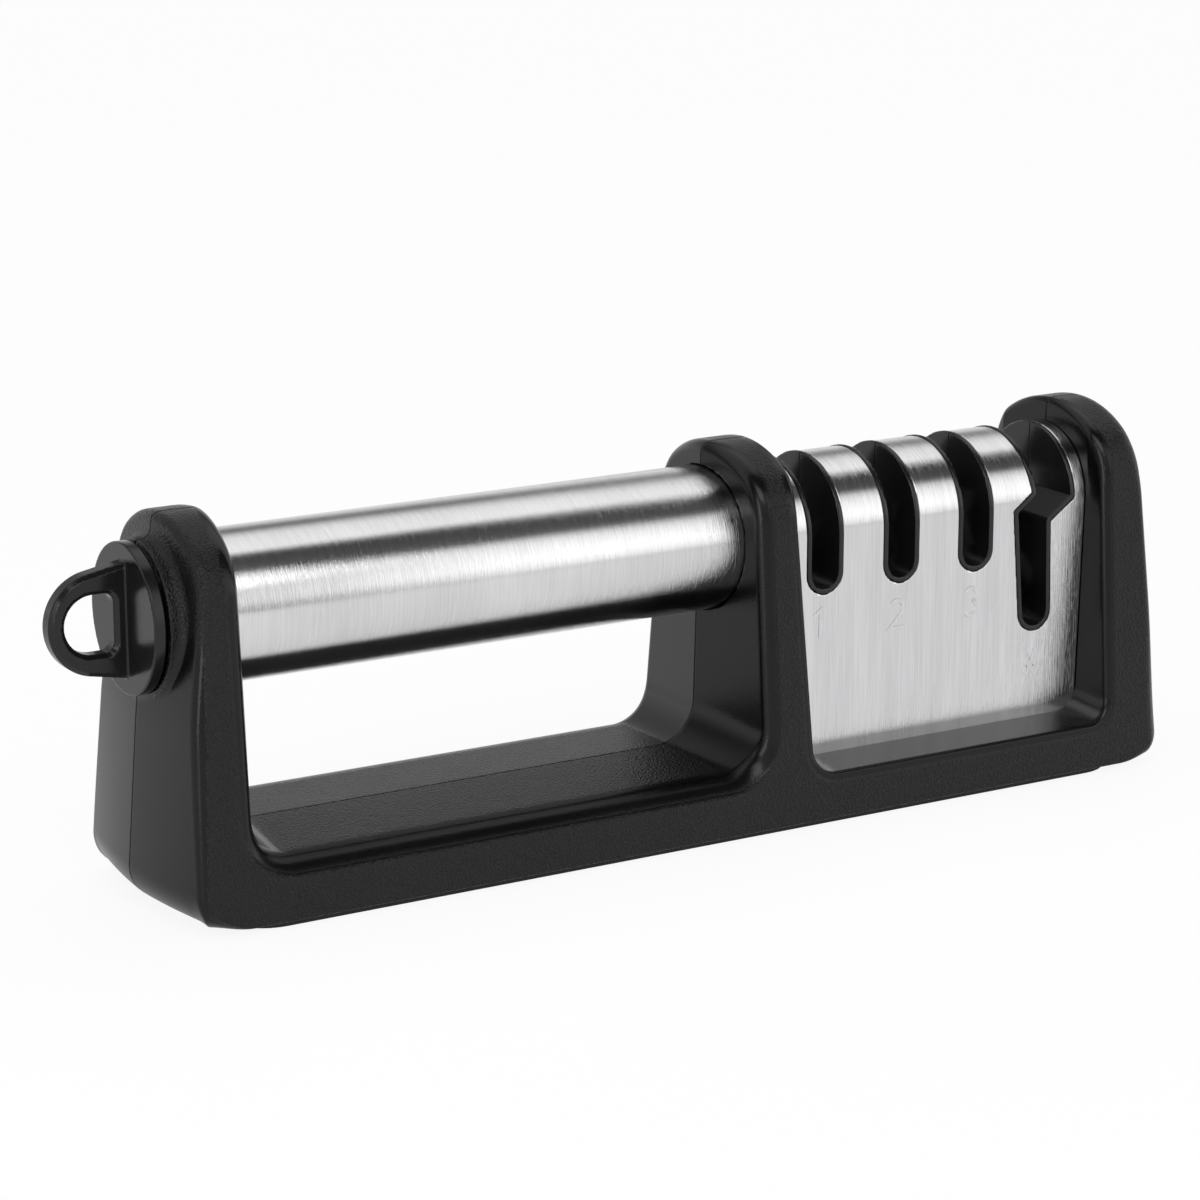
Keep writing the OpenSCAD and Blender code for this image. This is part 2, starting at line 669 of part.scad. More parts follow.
// Cartridge: an arched shell with a liner round each slot and a core for the abrasives
module cartridge() difference() {
    union() {
        difference() {
            intersection() {
                arch(shell_r, pocket_z);
                slab(pocket(-2 * gap, 0), -foot_d, foot_d);
            }
            intersection() {
                arch(shell_r - shell_t, pocket_z + shell_t);
                slab(pocket(-2 * gap - shell_t, -shell_t), -foot_d, foot_d);
            }
        }
        intersection() {
            arch(rim_r, pocket_z);
            slot_cut(0);
        }
        intersection() {
            arch(shell_r - gap, pocket_z);
            translate([pocket_x0 + shell_t, -core_d, core_low])
                cube([pocket_l - 2 * shell_t, 2 * core_d, core_high - core_low]);
        }
        for (x = slots) pin(x, core_low - head_d, pin_head_d / 2 + boss_wall, -shell_r, shell_r);
        bar_at(key_z, key_r, pocket_x0 - key_l, pocket_x1 + key_l);
    }
    slot_cut(-rim_t);
    for (x = slots) pin(x, core_low - head_d, pin_d / 2 + fit, -thread_y, cartridge_seat_y + cut);
    for (i = [1, 2], s = [-1, 1]) hone(slots[i], s, rod_y)
        cylinder(d = rod_d + 2 * fit, h = rod_l + 2 * gap, center = true, $fn = round_fn);
    for (s = [-1, 1]) hone(slots[0], s, 0) {
        plate_room(s);
        plate_screw(s, fit);
    }
    scissors_rod_place()
        cylinder(d = rod_d + 2 * fit, h = rod_l + 2 * gap, center = true, $fn = round_fn);
}

module cartridge_front() color("#19191a") intersection() {
    cartridge();
    translate([pocket_x0 - mid_post, -foot_d, 0]) cube([pocket_l + 2 * mid_post, foot_d, sky]);
}

module cartridge_back() color("#19191a") difference() {
    cartridge();
    translate([pocket_x0 - mid_post, -foot_d, 0]) cube([pocket_l + 2 * mid_post, foot_d, sky]);
    for (x = slots)
        pin(x, core_low - head_d, pin_head_d / 2 + gap, cartridge_seat_y, foot_d);
}

module cartridge_screws() color("silver") for (x = slots) {
    pin(x, core_low - head_d, pin_d / 2, cut - thread_y, cartridge_seat_y + film);
    pin(x, core_low - head_d, pin_head_d / 2, cartridge_seat_y, cartridge_seat_y + pin_head_h);
}

// Frame of one leaning abrasive: side -1 is the front piece, side 1 the back one
module hone(x, side, y)
    translate([x, side * y, vee_z]) rotate([0, -side * hone_lean, 0]) children();

// Room for a carbide plate: from its face nearest the seam out towards its own side
module plate_room(side)
    translate([side < 0 ? 0 : -carbide_w, side < 0 ? -carbide_y - carbide_t : carbide_y, -carbide_l / 2])
        cube([carbide_w, carbide_t, carbide_l]);

// Where the screw through a carbide plate sits, on the plate's low end
module plate_screw(side, g) {
    x = -side * carbide_w / 2;
    z = -carbide_l / 2 + pin_head_d * 2 / 3;
    inner = carbide_y + carbide_t;
    if (side < 0) {
        pin(x, z, pin_d / 2 + g, -inner - wall, -carbide_y);
    } else {
        pin(x, z, pin_d / 2 + g, carbide_y, inner + wall);
    }
}

module carbide_plate(side) color("#8b8d90") hone(slots[0], side, 0) difference() {
    plate_room(side);
    plate_screw(side, fit);
}
module carbide_front() carbide_plate(-1);
module carbide_back() carbide_plate(1);
module carbide_screws() color("silver") for (s = [-1, 1]) hone(slots[0], s, 0) plate_screw(s, 0);

module hone_rod(i, side) hone(slots[i], side, rod_y)
    cylinder(d = rod_d, h = rod_l, center = true, $fn = round_fn);
module diamond_rod_front() color("#6f7072") hone_rod(1, -1);
module diamond_rod_back() color("#6f7072") hone_rod(1, 1);
module ceramic_rod_front() color("#dcdad4") hone_rod(2, -1);
module ceramic_rod_back() color("#dcdad4") hone_rod(2, 1);

// Ceramic rod that lies across the scissors channel
scissors_rod_lean = 32;
module scissors_rod_place()
    translate([scissors_right - scissors_step - scissors_narrow / 2, 0, scissors_low + scissors_narrow])
        rotate([0, scissors_rod_lean, 0]) children();
module scissors_rod() color("#dcdad4") scissors_rod_place()
    cylinder(d = rod_d, h = rod_l, center = true, $fn = round_fn);

module bottom_plate() color("#2a2a2c") difference() {
    pad(plate_l, plate_d, sole_r, plate_z, ledge_z);
    for (x = [-1, 1], y = [-1, 1]) translate([x * plate_screw_x, y * plate_screw_y, plate_z - cut]) {
        cylinder(r = pin_d / 2 + gap, h = plate_t + 2 * cut, $fn = round_fn);
        cylinder(r = pin_head_d / 2 + gap, h = pin_head_h + cut, $fn = round_fn);
    }
}

module plate_screws() color("silver")
    for (x = [-1, 1], y = [-1, 1]) translate([x * plate_screw_x, y * plate_screw_y, plate_z]) {
        cylinder(r = pin_head_d / 2, h = pin_head_h, $fn = round_fn);
        cylinder(r = pin_d / 2, h = plate_t + thread_y - 2 * cut, $fn = round_fn);
    }

module rubber_sole() color("#101010") pad(sole_l, sole_d, sole_r, 0, sole_t);

frame_front();
frame_back();
frame_screws();
handle_tube();
tube_plug_left();
tube_plug_right();
hang_knob();
knob_washer();
knob_screw();
steel_cover();
cartridge_front();
cartridge_back();
cartridge_screws();
carbide_front();
carbide_back();
carbide_screws();
diamond_rod_front();
diamond_rod_back();
ceramic_rod_front();
ceramic_rod_back();
scissors_rod();
bottom_plate();
plate_screws();
rubber_sole();
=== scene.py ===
# A pull-through knife sharpener: a black moulded frame with a round steel handle, and a block
# with three knife slots and a scissors slot under a brushed steel cover.
import math

import bpy
import numpy as np
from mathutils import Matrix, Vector


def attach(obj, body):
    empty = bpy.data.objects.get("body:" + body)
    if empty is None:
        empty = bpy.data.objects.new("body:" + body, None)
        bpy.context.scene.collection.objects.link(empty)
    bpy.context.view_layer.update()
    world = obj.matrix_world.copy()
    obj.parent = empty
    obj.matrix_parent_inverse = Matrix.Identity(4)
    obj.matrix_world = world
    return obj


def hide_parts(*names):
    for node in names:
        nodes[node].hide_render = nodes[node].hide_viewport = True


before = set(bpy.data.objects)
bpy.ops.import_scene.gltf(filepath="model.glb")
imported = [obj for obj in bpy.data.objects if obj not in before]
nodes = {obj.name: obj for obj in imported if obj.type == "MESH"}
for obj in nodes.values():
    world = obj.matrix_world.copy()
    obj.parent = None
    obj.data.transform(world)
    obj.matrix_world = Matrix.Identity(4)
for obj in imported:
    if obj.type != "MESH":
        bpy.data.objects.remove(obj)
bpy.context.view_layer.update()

# The camera looks at the tool from the front left and a little above, through a long lens, as a
# catalogue picture does. Its places are in metres.
camera = bpy.data.objects.new("camera", bpy.data.cameras.new("camera"))
camera_place, camera_target = (-0.41421, -0.67139, 0.25352), (-0.0123, 0, 0.05047)


def aim(made, place, target):
    """Puts a camera or a lamp into the scene at a place, looking at a target."""
    bpy.context.scene.collection.objects.link(made)
    made.location = place
    made.rotation_euler = (Vector(target) - Vector(place)).to_track_quat("-Z", "Y").to_euler()


aim(camera, camera_place, camera_target)
bpy.context.scene.camera = camera
camera.data.lens = 111.52
camera.data.sensor_width = 36
camera.data.clip_start = 0.05
camera.data.clip_end = 50

# The frame is two moulded halves of black ABS that meet at a seam along the middle. Each is a
# loaf with leaning sides and a round crown, with a bay cut out for the hand and a pocket for the
# sharpening block. The sizes of all pieces are in millimetres.
mm = 0.001

# A span is the two heights between which a change eases in, or for the heel the two distances.
frame_h, foot_d, foot_z = 82.8, 56.7, 1.2
side_lean = math.radians(6)
crown_r, shoulder_r = 28, 14
left_foot, left_rise = -125.5, 0.0793
left_tuck, left_tuck_span = 1.4, (40, 66)
left_crease, left_bow_r = 0.05, 274
left_foot_bow, left_foot_bow_top = 0.73, 42
right_foot, right_lean, right_bow_r = 125.5, math.radians(3.3), 165
corner_r, foot_edge_r = 2.4, 0.7
left_crown_corner_r, left_foot_corner_r, left_heel_r = 2.0, 1.8, 8.5
right_crown_corner_r, right_foot_corner_r, right_heel_r = 4.6, 4.0, 6.5
crown_corner_span, foot_corner_span, heel_span = (62, 76), (38, 10), (-12, 4)
tube_z = 61.5
wall_lean = math.radians(1.5)
bay_left, bay_right, bay_corner_r, bay_slope = -105.8, 12.9, 9.5, 0.109
base_h, base_fall = 15.2, math.radians(3)
lip_r, post_edge_r, lip_crease = 5.6, 2.7, 0.35
pocket_left, pocket_right, pocket_floor, pocket_corner_r = 26.6, 107.7, 12.4, 5.5
pocket_cover_y, pocket_flare, pocket_flare_limit = 16.2, 0.8, 1.3
pocket_edge_r, pocket_lip_r = 1.7, 1.1
seam_gap, seam_r = 0.12, 0.3

# The crown is three arcs that run into each other and into the flat sides without a corner.
crown_z = frame_h - crown_r
side_reach = foot_d / 2 * math.cos(side_lean) + foot_z * math.sin(side_lean)
crown_turn = math.asin((side_reach - shoulder_r - math.sin(side_lean) * crown_z)
                       / (crown_r - shoulder_r)) - side_lean
shoulder_y = (crown_r - shoulder_r) * math.sin(crown_turn)
shoulder_z = crown_z + (crown_r - shoulder_r) * math.cos(crown_turn)


# A solid is given by its skin: a number for each point, much like a distance, which is 0 on the
# surface, below 0 inside and above 0 outside.
def round_cut(a, b, r):
    """What two solids share, with a round edge of radius r where their skins meet."""
    return np.minimum(np.maximum(a, b), -r) + np.hypot(np.maximum(a + r, 0), np.maximum(b + r, 0))


def round_join(a, b, r):
    """Two solids as one, with a hollow fillet of radius r between them."""
    return -round_cut(-a, -b, r)


def ease(low, high, x):
    """Runs smoothly from 0 at low to 1 at high."""
    t = np.clip((x - low) / (high - low), 0, 1)
    return t * t * (3 - 2 * t)


def half_depth(z):
    """How far the flat side stands from the seam at a height."""
    return foot_d / 2 - (z - foot_z) * math.tan(side_lean)


def loaf(x, v, z):
    """The frame before anything is cut from it, v being the distance from the seam."""
    turn = np.arctan2(z - shoulder_z, v - shoulder_y)
    side = (v - half_depth(z)) * math.cos(side_lean)
    shoulder = np.hypot(v - shoulder_y, z - shoulder_z) - shoulder_r
    crown = np.hypot(v, z - crown_z) - crown_r
    section = np.where(turn < side_lean, side,
                       np.where(turn < math.pi / 2 - crown_turn, shoulder, crown))
    low = np.clip((left_foot_bow_top - z) / (left_foot_bow_top - foot_z), 0, 1)
    bow = left_crease * np.abs(v) + v * v / (2 * left_bow_r) * (1 + left_foot_bow * low)
    left = left_foot + (z - foot_z) * left_rise + left_tuck * ease(*left_tuck_span, z) + bow - x
    bow = v * v / (2 * right_bow_r)
    right = (x - right_foot + (z - foot_z) * math.tan(right_lean) + bow) * math.cos(right_lean)
    end = np.maximum(left, right)
    crown_corner = np.where(x < 0, left_crown_corner_r, right_crown_corner_r)
    foot_corner = np.where(x < 0, left_foot_corner_r, right_foot_corner_r)
    corner = (corner_r + (foot_corner - corner_r) * ease(*foot_corner_span, z)
              + (crown_corner - corner_r) * ease(*crown_corner_span, z))
    walls = round_cut(section, end, corner)
    heel = np.where(x < 0, left_heel_r, right_heel_r)
    foot_r = foot_edge_r + (heel - foot_edge_r) * ease(*heel_span, end - section)
    return round_cut(walls, foot_z - z, foot_r)


def bay(x, v, z):
    """The hand bay: its skin, and the height over the base's top."""
    reach = bay_slope * v
    left = bay_left - reach - x
    right = x - bay_right - reach - (z - tube_z) * math.tan(wall_lean)
    over = (z - base_h + v * math.tan(base_fall)) * math.cos(base_fall)
    return round_cut(np.maximum(left, right), -over, bay_corner_r), over


def pocket(x, v, z):
    """The pocket for the sharpening block: its skin, and the height over its floor."""
    out = (v - pocket_cover_y) / (half_depth(z) - pocket_edge_r - pocket_cover_y)
    out = np.clip(out, 0, pocket_flare_limit)
    drift = (z - tube_z) * math.tan(wall_lean)
    left = pocket_left - pocket_flare * out - drift - x
    right = x - pocket_right - pocket_flare * out - drift
    over = z - pocket_floor + pocket_flare * out
    return round_cut(np.maximum(left, right), -over, pocket_corner_r), over


def bar(y, z, r, axis_z=tube_z):
    """A round bar along X."""
    return np.hypot(y, z - axis_z) - r


def pad(x, y, half_l, half_d, r):
    """An upright rectangle with round corners."""
    u, w = np.abs(x) - half_l + r, np.abs(y) - half_d + r
    return np.hypot(np.maximum(u, 0), np.maximum(w, 0)) + np.minimum(np.maximum(u, w), 0) - r


boss_x, boss_r, boss_edge_r, boss_fillet_r = -121.2, 16.0, 0.4, 1.9
stem_bore_r, hub_x = 6.05, -113.6
tube_bore_r, seat_left, seat_right, bore_edge_r = 16.05, -109.8, 16.9, 0.35
key_r, key_z, key_l = 4.05, 36.6, 1.95
screw_r, screw_y = 2.95, 10
screw_places = [(-114.01, 30.75), (19.75, 37.5), (114.38, 30.75), (111.98, 61.5)]
sole_half_l, sole_half_d, sole_corner_r, sole_top = 112.3, 26.8, 10, 1.9
plate_half_l, plate_half_d, plate_top = 111.3, 25.8, 4.1


def half_shell(x, y, z, way):
    """Skin of one half of the frame; way is -1 for the front half and 1 for the back half."""
    v = way * y
    skin = loaf(x, v, z)
    boss = round_cut(bar(v, z, boss_r), boss_x - x, boss_edge_r)
    skin = round_join(skin, np.maximum(boss, x - seat_left), boss_fillet_r)
    hollow, over = bay(x, v, z)
    low = ease(bay_corner_r, 0, over)
    edge = post_edge_r + (lip_r - post_edge_r) * low
    skin = np.maximum(skin, round_cut(skin - lip_crease * low, -hollow, edge))
    hollow, over = pocket(x, v, z)
    low = ease(pocket_corner_r, 0, over)
    edge = pocket_edge_r + (pocket_lip_r - pocket_edge_r) * low
    skin = np.maximum(skin, round_cut(skin - lip_crease / 2 * low, -hollow, edge))
    tube = np.maximum(bar(v, z, tube_bore_r), np.maximum(seat_left - x, x - seat_right))
    stem = np.maximum(bar(v, z, stem_bore_r), x - hub_x)
    key = np.maximum(bar(v, z, key_r, key_z),
                     np.maximum(pocket_left - key_l - x, x - pocket_right - key_l))
    for hole in (tube, stem, key):
        skin = round_cut(skin, -hole, bore_edge_r)
    sole = np.maximum(pad(x, v, sole_half_l, sole_half_d, sole_corner_r), z - sole_top)
    plate = np.maximum(pad(x, v, plate_half_l, plate_half_d, sole_corner_r), z - plate_top)
    skin = np.maximum(skin, -np.minimum(sole, plate))
    if way > 0:
        for place_x, place_z in screw_places:
            hole = np.maximum(np.hypot(x - place_x, z - place_z) - screw_r, screw_y - v)
            skin = round_cut(skin, -hole, bore_edge_r)
    return round_cut(skin, seam_gap / 2 - v, seam_r)


# How far apart a skin is felt for its slope, and how far a point is pushed at a time.
push_probe, facing_probe = 0.02, 0.06
gentlest_slope, longest_push = 0.1, 1


def slopes(skin, p, probe):
    """Which way a skin faces at each point, not yet of length 1."""
    out = np.empty_like(p)
    for axis in range(3):
        step = np.zeros(3)
        step[axis] = probe
        out[:, axis] = (skin(*(p + step).T) - skin(*(p - step).T)) / (2 * probe)
    return out


def evened(points, faces):
    """The points moved half way to the middle of their neighbours."""
    total, count = np.zeros_like(points), np.zeros(len(points))
    for a, b in ((0, 1), (1, 2), (2, 3), (3, 0)):
        for here, there in ((faces[:, a], faces[:, b]), (faces[:, b], faces[:, a])):
            for k in range(3):
                total[:, k] += np.bincount(here, points[there, k], len(points))
            count += np.bincount(here, minlength=len(points))
    return (points + total / count[:, None]) / 2


def carve(skin, lines, passes=5):
    """Mesh of the solid inside a skin, on a grid whose lines may be unevenly spaced.

    Each cell that the surface crosses gets a point, and each grid step that crosses it a face.
    The points are then pushed onto the skin. It gives the points, the four-sided faces, and
    which way the skin faces at each point.
    """
    value = skin(*np.meshgrid(*lines, indexing="ij"))
    inside = value < 0
    cells = np.array(value.shape) - 1
    total = np.zeros((cells.prod(), 3))
    count = np.zeros(cells.prod())
    rings = []
    for axis in range(3):
        u, w = (axis + 1) % 3, (axis + 2) % 3
        low, high = [slice(None)] * 3, [slice(None)] * 3
        low[axis], high[axis] = slice(0, -1), slice(1, None)
        low, high = tuple(low), tuple(high)
        at = np.argwhere(inside[low] != inside[high])
        a, b = value[low][tuple(at.T)], value[high][tuple(at.T)]
        p = np.stack([lines[k][at[:, k]] for k in range(3)], 1)
        step = lines[axis][at[:, axis] + 1] - lines[axis][at[:, axis]]
        p[:, axis] += step * a / (a - b)
        ring = []
        for du, dw in ((0, 0), (1, 0), (1, 1), (0, 1)):
            cell = at.copy()
            cell[:, u] -= du
            cell[:, w] -= dw
            ring.append(np.ravel_multi_index(cell.T, cells))
        for cell in ring:
            for k in range(3):
                total[:, k] += np.bincount(cell, p[:, k], len(count))
            count += np.bincount(cell, minlength=len(count))
        ring = np.stack(ring, 1)
        rings.append(np.where((a < 0)[:, None], ring, ring[:, ::-1]))
    used = np.flatnonzero(count)
    number = np.full(len(count), -1)
    number[used] = np.arange(len(used))
    points = total[used] / count[used, None]
    faces = number[np.concatenate(rings)]
    for k in range(passes):
        if k == 1:
            points = evened(points, faces)
        slope = slopes(skin, points, push_probe)
        push = skin(*points.T) / np.maximum((slope ** 2).sum(1), gentlest_slope)
        points -= np.clip(push, -longest_push, longest_push)[:, None] * slope
    facing = slopes(skin, points, facing_probe)
    return points, faces, facing / np.linalg.norm(facing, axis=1, keepdims=True)


def stops(*spans):
    """Grid lines from spans of (start, end, step), each span starting where the last ends."""
    lines = [np.linspace(a, b, max(1, round((b - a) / step)), endpoint=False)
             for a, b, step in spans]
    return np.concatenate(lines + [[spans[-1][1]]])


def piece(name, points, faces, facing, body="tool", stands_for=()):
    """A mesh in millimetres as a piece of the object, riding on its body."""
    mesh = bpy.data.meshes.new(name)
    mesh.from_pydata((points * mm).tolist(), [], faces.tolist())
    mesh.polygons.foreach_set("use_smooth", np.ones(len(faces), bool))
    if facing is not None:
        mesh.normals_split_custom_set_from_vertices(facing.tolist())
    made = bpy.data.objects.new(name, mesh)
    bpy.context.scene.collection.objects.link(made)
    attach(made, body)
    if stands_for:
        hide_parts(*stands_for)
    return made


def mark(made, name, amounts):
    """Keeps an amount for each point of a piece, for its finish to read."""
    layer = made.data.attributes.new(name, "FLOAT", "POINT")
    layer.data.foreach_set("value", np.asarray(amounts, np.float32))


# The grid is finest along the edges and the round corners, and coarse over the flats.
frame_x = stops((-126.5, -117, 0.42), (-117, -109, 0.8), (-109, -104.4, 0.45),
                (-104.4, -94, 0.8), (-94, 1, 2.4), (1, 11.6, 0.8), (11.6, 16.2, 0.45),
                (16.2, 24.5, 0.7), (24.5, 28, 0.45), (28, 32, 0.8), (32, 102, 2.4),
                (102, 106, 0.8), (106, 110.6, 0.45), (110.6, 126.5, 0.7))
frame_v = stops((-0.4, 0.8, 0.15), (0.8, 2, 0.4), (2, 14, 1.1), (14, 21, 0.7), (21, 29, 0.4))
frame_z = stops((0.7, 17, 0.45), (17, 43, 1.4), (43, 84, 0.7))

# Where the spark texture of the mould fades out, on each of its faces.
side_fade, side_edge_fade = (0.6, 0.3), 1
end_line, end_line_lean, end_fade = -120.2, 0.063, (0.4, 0)
top_fade, top_side_fade, top_margin = (0.35, 0.05), (22, 20), 4
boss_share, boss_face_margin, boss_root = 0.5, 0.3, -116
boss_inner_fade, boss_outer_fade = (boss_r - 0.8, boss_r - 0.3), (boss_r + 1.2, boss_r + 0.6)
crown_share, crown_fade, crown_edge_fade = 0.6, (58, 64), 1.5


def texture_share(x, v, z):
    """Where the mould is spark-textured: on the flats, and less on the boss and the crowns."""
    to_bay, over_base = bay(x, v, z)
    to_pocket, _ = pocket(x, v, z)
    to_side = np.abs(v - half_depth(z)) * math.cos(side_lean)
    side = ease(*side_fade, to_side) * ease(post_edge_r, post_edge_r + side_edge_fade, to_bay)
    side *= ease(*end_fade, end_line + end_line_lean * z - x)
    side *= ease(pocket_edge_r, pocket_edge_r + side_edge_fade, to_pocket)
    top = ease(*top_fade, np.abs(over_base)) * ease(*top_side_fade, v)
    top *= (x > bay_left + top_margin) & (x < bay_right - top_margin)
    from_axis = np.hypot(v, z - tube_z)
    boss = ease(*boss_inner_fade, from_axis) * (x > boss_x - boss_face_margin)
    boss *= ease(*boss_outer_fade, from_axis) * (x < boss_root)
    crown = crown_share * ease(*crown_fade, z)
    crown *= ease(post_edge_r, post_edge_r + crown_edge_fade, to_bay)
    crown *= ease(pocket_edge_r, pocket_edge_r + crown_edge_fade, to_pocket)
    return np.maximum(np.maximum(side, top), np.maximum(boss_share * boss, crown))


frame_halves = []
for way, node in ((-1, "frame_front"), (1, "frame_back")):
    frame_y = frame_v if way > 0 else -frame_v[::-1]
    points, faces, facing = carve(lambda x, y, z: half_shell(x, y, z, way),
                                  (frame_x, frame_y, frame_z))
    half = piece(node + "_moulding", points, faces, facing, stands_for=[node])
    mark(half, "texture", texture_share(points[:, 0], way * points[:, 1], points[:, 2]))
    frame_halves.append(half)


class Wire:
    """One output in a material's node tree, which takes part in plain arithmetic."""

    def __init__(self, finish, socket):
        self.finish, self.socket = finish, socket

    def _math(self, operation, a, b):
        return self.finish.node("ShaderNodeMath", {"operation": operation}, {0: a, 1: b})

    def __add__(self, other):
        return self._math("ADD", self, other)

    def __sub__(self, other):
        return self._math("SUBTRACT", self, other)

    def __mul__(self, other):
        return self._math("MULTIPLY", self, other)

    def __rsub__(self, other):
        return self._math("SUBTRACT", other, self)

    __radd__ = __add__
    __rmul__ = __mul__

    def over(self, other):
        """The larger of the two."""
        return self._math("MAXIMUM", self, other)

    def eased(self, low, high):
        """Runs smoothly from 0 at low to 1 at high."""
        return self.finish.node("ShaderNodeMapRange", {"interpolation_type": "SMOOTHSTEP"},
                                {"Value": self, "From Min": low, "From Max": high})


class Finish:
    """A material: one shader with its fixed values, and the nodes that vary it."""

    def __init__(self, name, **fixed):
        self.material = bpy.data.materials.new(name)
        self.material.use_nodes = True
        self.tree = self.material.node_tree
        self.shader = self.tree.nodes["Principled BSDF"]
        for socket, value in fixed.items():
            self.shader.inputs[socket.replace("_", " ")].default_value = value

    def node(self, kind, settings=None, inputs=None, out=0):
        """Adds a node with its settings and its sockets' values or links."""
        made = self.tree.nodes.new(kind)
        for key, value in (settings or {}).items():
            if key == "ramp":
                while len(made.color_ramp.elements) < len(value):
                    made.color_ramp.elements.new(0.5)
                for element, (place, colour) in zip(made.color_ramp.elements, value):
                    element.position = place
                    element.color = (*colour, 1)
            else:
                setattr(made, key, value)
        for key, value in (inputs or {}).items():
            self.feed(made.inputs[key], value)
        return Wire(self, made.outputs[out])

    def feed(self, socket, value):
        """Links a wire to a socket, or sets a plain value on it."""
        if isinstance(value, Wire):
            self.tree.links.new(value.socket, socket)
        else:
            socket.default_value = value

    def place(self, scale=(1, 1, 1)):
        """Where a point lies on its piece, stretched for a texture."""
        where = self.node("ShaderNodeTexCoord", out=3)
        return self.node("ShaderNodeMapping", {}, {"Vector": where, "Scale": scale})

    def noise(self, vector, scale, detail=2, roughness=0.5):
        """Soft random spots, scale of them to a metre."""
        return self.node("ShaderNodeTexNoise", {}, {"Vector": vector, "Scale": scale,
                                                    "Detail": detail, "Roughness": roughness})

    def blend(self, share, a, b):
        """One colour or another, by a share from 0 to 1."""
        a, b = (c if isinstance(c, Wire) else (*c, 1) for c in (a, b))
        return self.node("ShaderNodeMix", {"data_type": "RGBA"}, {0: share, 6: a, 7: b}, out=2)

    def vary(self, socket, wire):
        """Feeds one of the shader's sockets."""
        self.feed(self.shader.inputs[socket], wire)

    def colour(self, share, dark, pale):
        """Varies the colour from dark to pale."""
        self.vary("Base Color", self.blend(share, dark, pale))

    def relief(self, height, depth):
        """Makes the surface bumpy, depth being that of a height of 1, in metres."""
        self.vary("Normal", self.node("ShaderNodeBump", {}, {"Strength": 1, "Distance": depth,
                                                             "Height": height}))

    def on(self, *pieces):
        """Gives the finish to pieces or CAD nodes."""
        for made in pieces:
            made.data.materials.clear()
            made.data.materials.append(self.material)


abs_dark, abs_pale = (0.0022, 0.0022, 0.0024), (0.0075, 0.0075, 0.0078)
abs_plastic = Finish("spark textured black ABS", IOR=1.38)
spot = abs_plastic.place()
grain = abs_plastic.noise(spot, scale=2100, detail=1)
patches = abs_plastic.noise(spot, scale=60, detail=3)
texture = abs_plastic.node("ShaderNodeAttribute", {"attribute_name": "texture"}, out=2)
abs_plastic.colour((grain * 0.7 + patches * 0.3 + texture * 0.25).eased(0.35, 0.85),
                   abs_dark, abs_pale)
abs_plastic.vary("Roughness", 0.22 + texture * 0.12 + (patches - 0.5) * 0.06)
abs_plastic.relief(grain * (0.06 + texture), depth=0.0004)
abs_plastic.on(*frame_halves)

# The handle is a thin stainless tube, brushed and then polished lightly. Its ends sit in the left
# and the middle post, over plugs that keep it round.
tube_r, tube_wall, tube_edge_r, tube_room = 16.0, 0.8, 0.2, 0.05
tube_facets, tube_sharp = 192, math.radians(40)


def turned(profile, count):
    """Points and faces of a closed profile of (x, radius) turned about the tube's axis."""
    angles = np.linspace(0, 2 * math.pi, count, endpoint=False)
    x, r = np.array(profile, float).T
    points = np.stack([np.repeat(x, count), np.outer(r, np.cos(angles)).ravel(),
                       tube_z + np.outer(r, np.sin(angles)).ravel()], 1)
    k, j = np.meshgrid(np.arange(len(profile)), np.arange(count), indexing="ij")
    k2, j2 = (k + 1) % len(profile), (j + 1) % count
    faces = np.stack([k * count + j, k * count + j2, k2 * count + j2, k2 * count + j], -1)
    return points, faces.reshape(-1, 4)


def rounded_profile(x0, x1, r0, r1, soft, steps=3):
    """Section of a ring from x0 to x1 and r0 to r1, with soft corners, as (x, radius)."""
    out = []
    for cx, cr, start in ((x1 - soft, r1 - soft, 0), (x0 + soft, r1 - soft, 90),
                          (x0 + soft, r0 + soft, 180), (x1 - soft, r0 + soft, 270)):
        for k in range(steps + 1):
            t = math.radians(start + 90 * k / steps)
            out.append((cx + soft * math.cos(t), cr + soft * math.sin(t)))
    return out


points, faces = turned(rounded_profile(seat_left + tube_room, seat_right - tube_room,
                                       tube_r - tube_wall, tube_r, tube_edge_r), tube_facets)
tube = piece("handle_tube_skin", points, faces, None, stands_for=["handle_tube"])
tube.data.set_sharp_from_angle(angle=tube_sharp)

tube_dark, tube_pale = (0.70, 0.70, 0.705), (0.86, 0.86, 0.862)
brushed_tube = Finish("brushed handle steel", Metallic=1.0, IOR=2.5)
streaks = brushed_tube.noise(brushed_tube.place((1, 0.02, 0.02)), scale=5200, detail=3,
                             roughness=0.7)
clouds = brushed_tube.noise(brushed_tube.place(), scale=45, detail=3)
brushed_tube.colour((streaks * 0.6 + clouds * 0.4).eased(0.3, 0.75), tube_dark, tube_pale)
brushed_tube.vary("Roughness", 0.09 + streaks * 0.06 + clouds * 0.03)
brushed_tube.relief(streaks, depth=0.00004)
brushed_tube.on(tube)

# The cover is one sheet of brushed stainless, bent to an upside-down U over the block. Its long
# edges are tucked into the pocket's floor, and the slots are punched through it.
cover_r, cover_t, cover_edge_r, cover_low, cover_room = 16.0, 0.6, 0.14, 11.1, 0.15
slot_x = [35.9, 56.4, 76.9]
slot_half, slot_centre_z, punch_gap = 4.75, 53.75, 0.09
rim_t, rim_r = 1.2, 16.2
arch_l, front_l = cover_r * math.pi / 2, tube_z - cover_low
scissors_left, scissors_right, scissors_foot_x = 91.6, 104.7, 93.95
scissors_knee, scissors_low_z, scissors_half, slot_open_z = 62.7, 37.3, 4.55, 83.8


